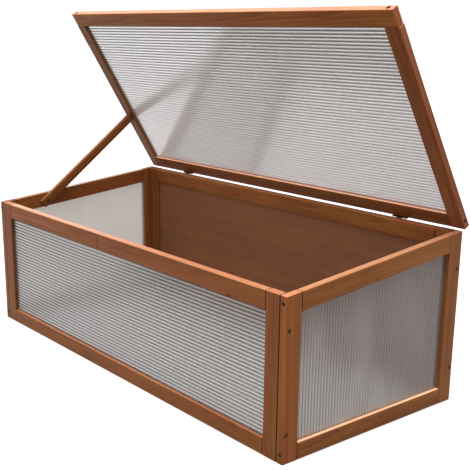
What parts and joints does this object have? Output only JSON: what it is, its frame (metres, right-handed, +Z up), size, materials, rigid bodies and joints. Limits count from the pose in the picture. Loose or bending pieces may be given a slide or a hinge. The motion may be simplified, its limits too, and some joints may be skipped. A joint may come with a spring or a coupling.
{
  "type": "cold frame",
  "caption": "Low timber cold frame glazed with twin-wall sheet, sloping rim, board back, and a hinged glazed lid held open by a pivoting wooden prop.",
  "frame": {"origin": "on the ground, under the centre of the bounding box of the cold frame with its lid propped open", "axes": "+X along the length to the right as seen from the front, +Y from front to back, +Z up"},
  "size_m": [1, 0.4648, 0.7347],
  "materials": {
    "stained_timber": "reddish-brown translucent stain on planed softwood, satin",
    "plywood": "brown stained plywood, matt",
    "twin_wall_sheet": "clear twin-wall polycarbonate with ribs 7.2 mm apart, glossy",
    "screw_steel": "dark bronzed steel, dulled",
    "hinge_steel": "dark bronzed steel, dulled"
  },
  "bodies": {
    "frame": {"back_bottom_rail": "stained_timber", "back_left_stile": "stained_timber", "back_plywood_board": "plywood", "back_right_stile": "stained_timber", "back_top_rail": "stained_timber", "front_bottom_rail": "stained_timber", "front_glazing_sheet": "twin_wall_sheet", "front_left_stile": "stained_timber", "front_right_stile": "stained_timber", "front_top_rail": "stained_timber", "left_bottom_rail": "stained_timber", "left_front_lower_corner_screw": "screw_steel", "left_front_lower_rail_screw": "screw_steel", "left_front_stile": "stained_timber", "left_front_upper_corner_screw": "screw_steel", "left_front_upper_rail_screw": "screw_steel", "left_glazing_sheet": "twin_wall_sheet", "left_hinge_frame_leaf": "hinge_steel", "left_hinge_pin": "hinge_steel", "left_rear_lower_corner_screw": "screw_steel", "left_rear_lower_rail_screw": "screw_steel", "left_rear_stile": "stained_timber", "left_rear_upper_corner_screw": "screw_steel", "left_rear_upper_rail_screw": "screw_steel", "left_top_rail": "stained_timber", "prop_pivot_screw": "screw_steel", "prop_washer": "hinge_steel", "right_bottom_rail": "stained_timber", "right_front_lower_corner_screw": "screw_steel", "right_front_lower_rail_screw": "screw_steel", "right_front_stile": "stained_timber", "right_front_upper_corner_screw": "screw_steel", "right_front_upper_rail_screw": "screw_steel", "right_glazing_sheet": "twin_wall_sheet", "right_hinge_frame_leaf": "hinge_steel", "right_hinge_pin": "hinge_steel", "right_rear_lower_corner_screw": "screw_steel", "right_rear_lower_rail_screw": "screw_steel", "right_rear_stile": "stained_timber", "right_rear_upper_corner_screw": "screw_steel", "right_rear_upper_rail_screw": "screw_steel", "right_top_rail": "stained_timber"},
    "lid": {"left_hinge_lid_leaf": "hinge_steel", "lid_front_rail": "stained_timber", "lid_glazing_sheet": "twin_wall_sheet", "lid_left_front_screw": "screw_steel", "lid_left_rail": "stained_timber", "lid_left_rear_screw": "screw_steel", "lid_rear_rail": "stained_timber", "lid_right_front_screw": "screw_steel", "lid_right_rail": "stained_timber", "lid_right_rear_screw": "screw_steel", "right_hinge_lid_leaf": "hinge_steel"},
    "prop": {"prop_stick": "stained_timber"}
  },
  "joints": [
    {"name": "lid_hinge", "type": "hinge", "parent": "frame", "child": "lid", "pos_m": [0, 0.2174, 0.3325], "axis": [-1, 0, 0], "range_deg": [-64.25, 36]},
    {"name": "prop_pivot", "type": "hinge", "parent": "frame", "child": "prop", "pos_m": [-0.4832, -0.1188, 0.28546], "axis": [1, 0, 0], "range_deg": [-96.4, 54.1]}
  ],
  "couplings": [
    {"joint": "prop_pivot", "follows": "lid_hinge", "ratio": 1.5}
  ]
}
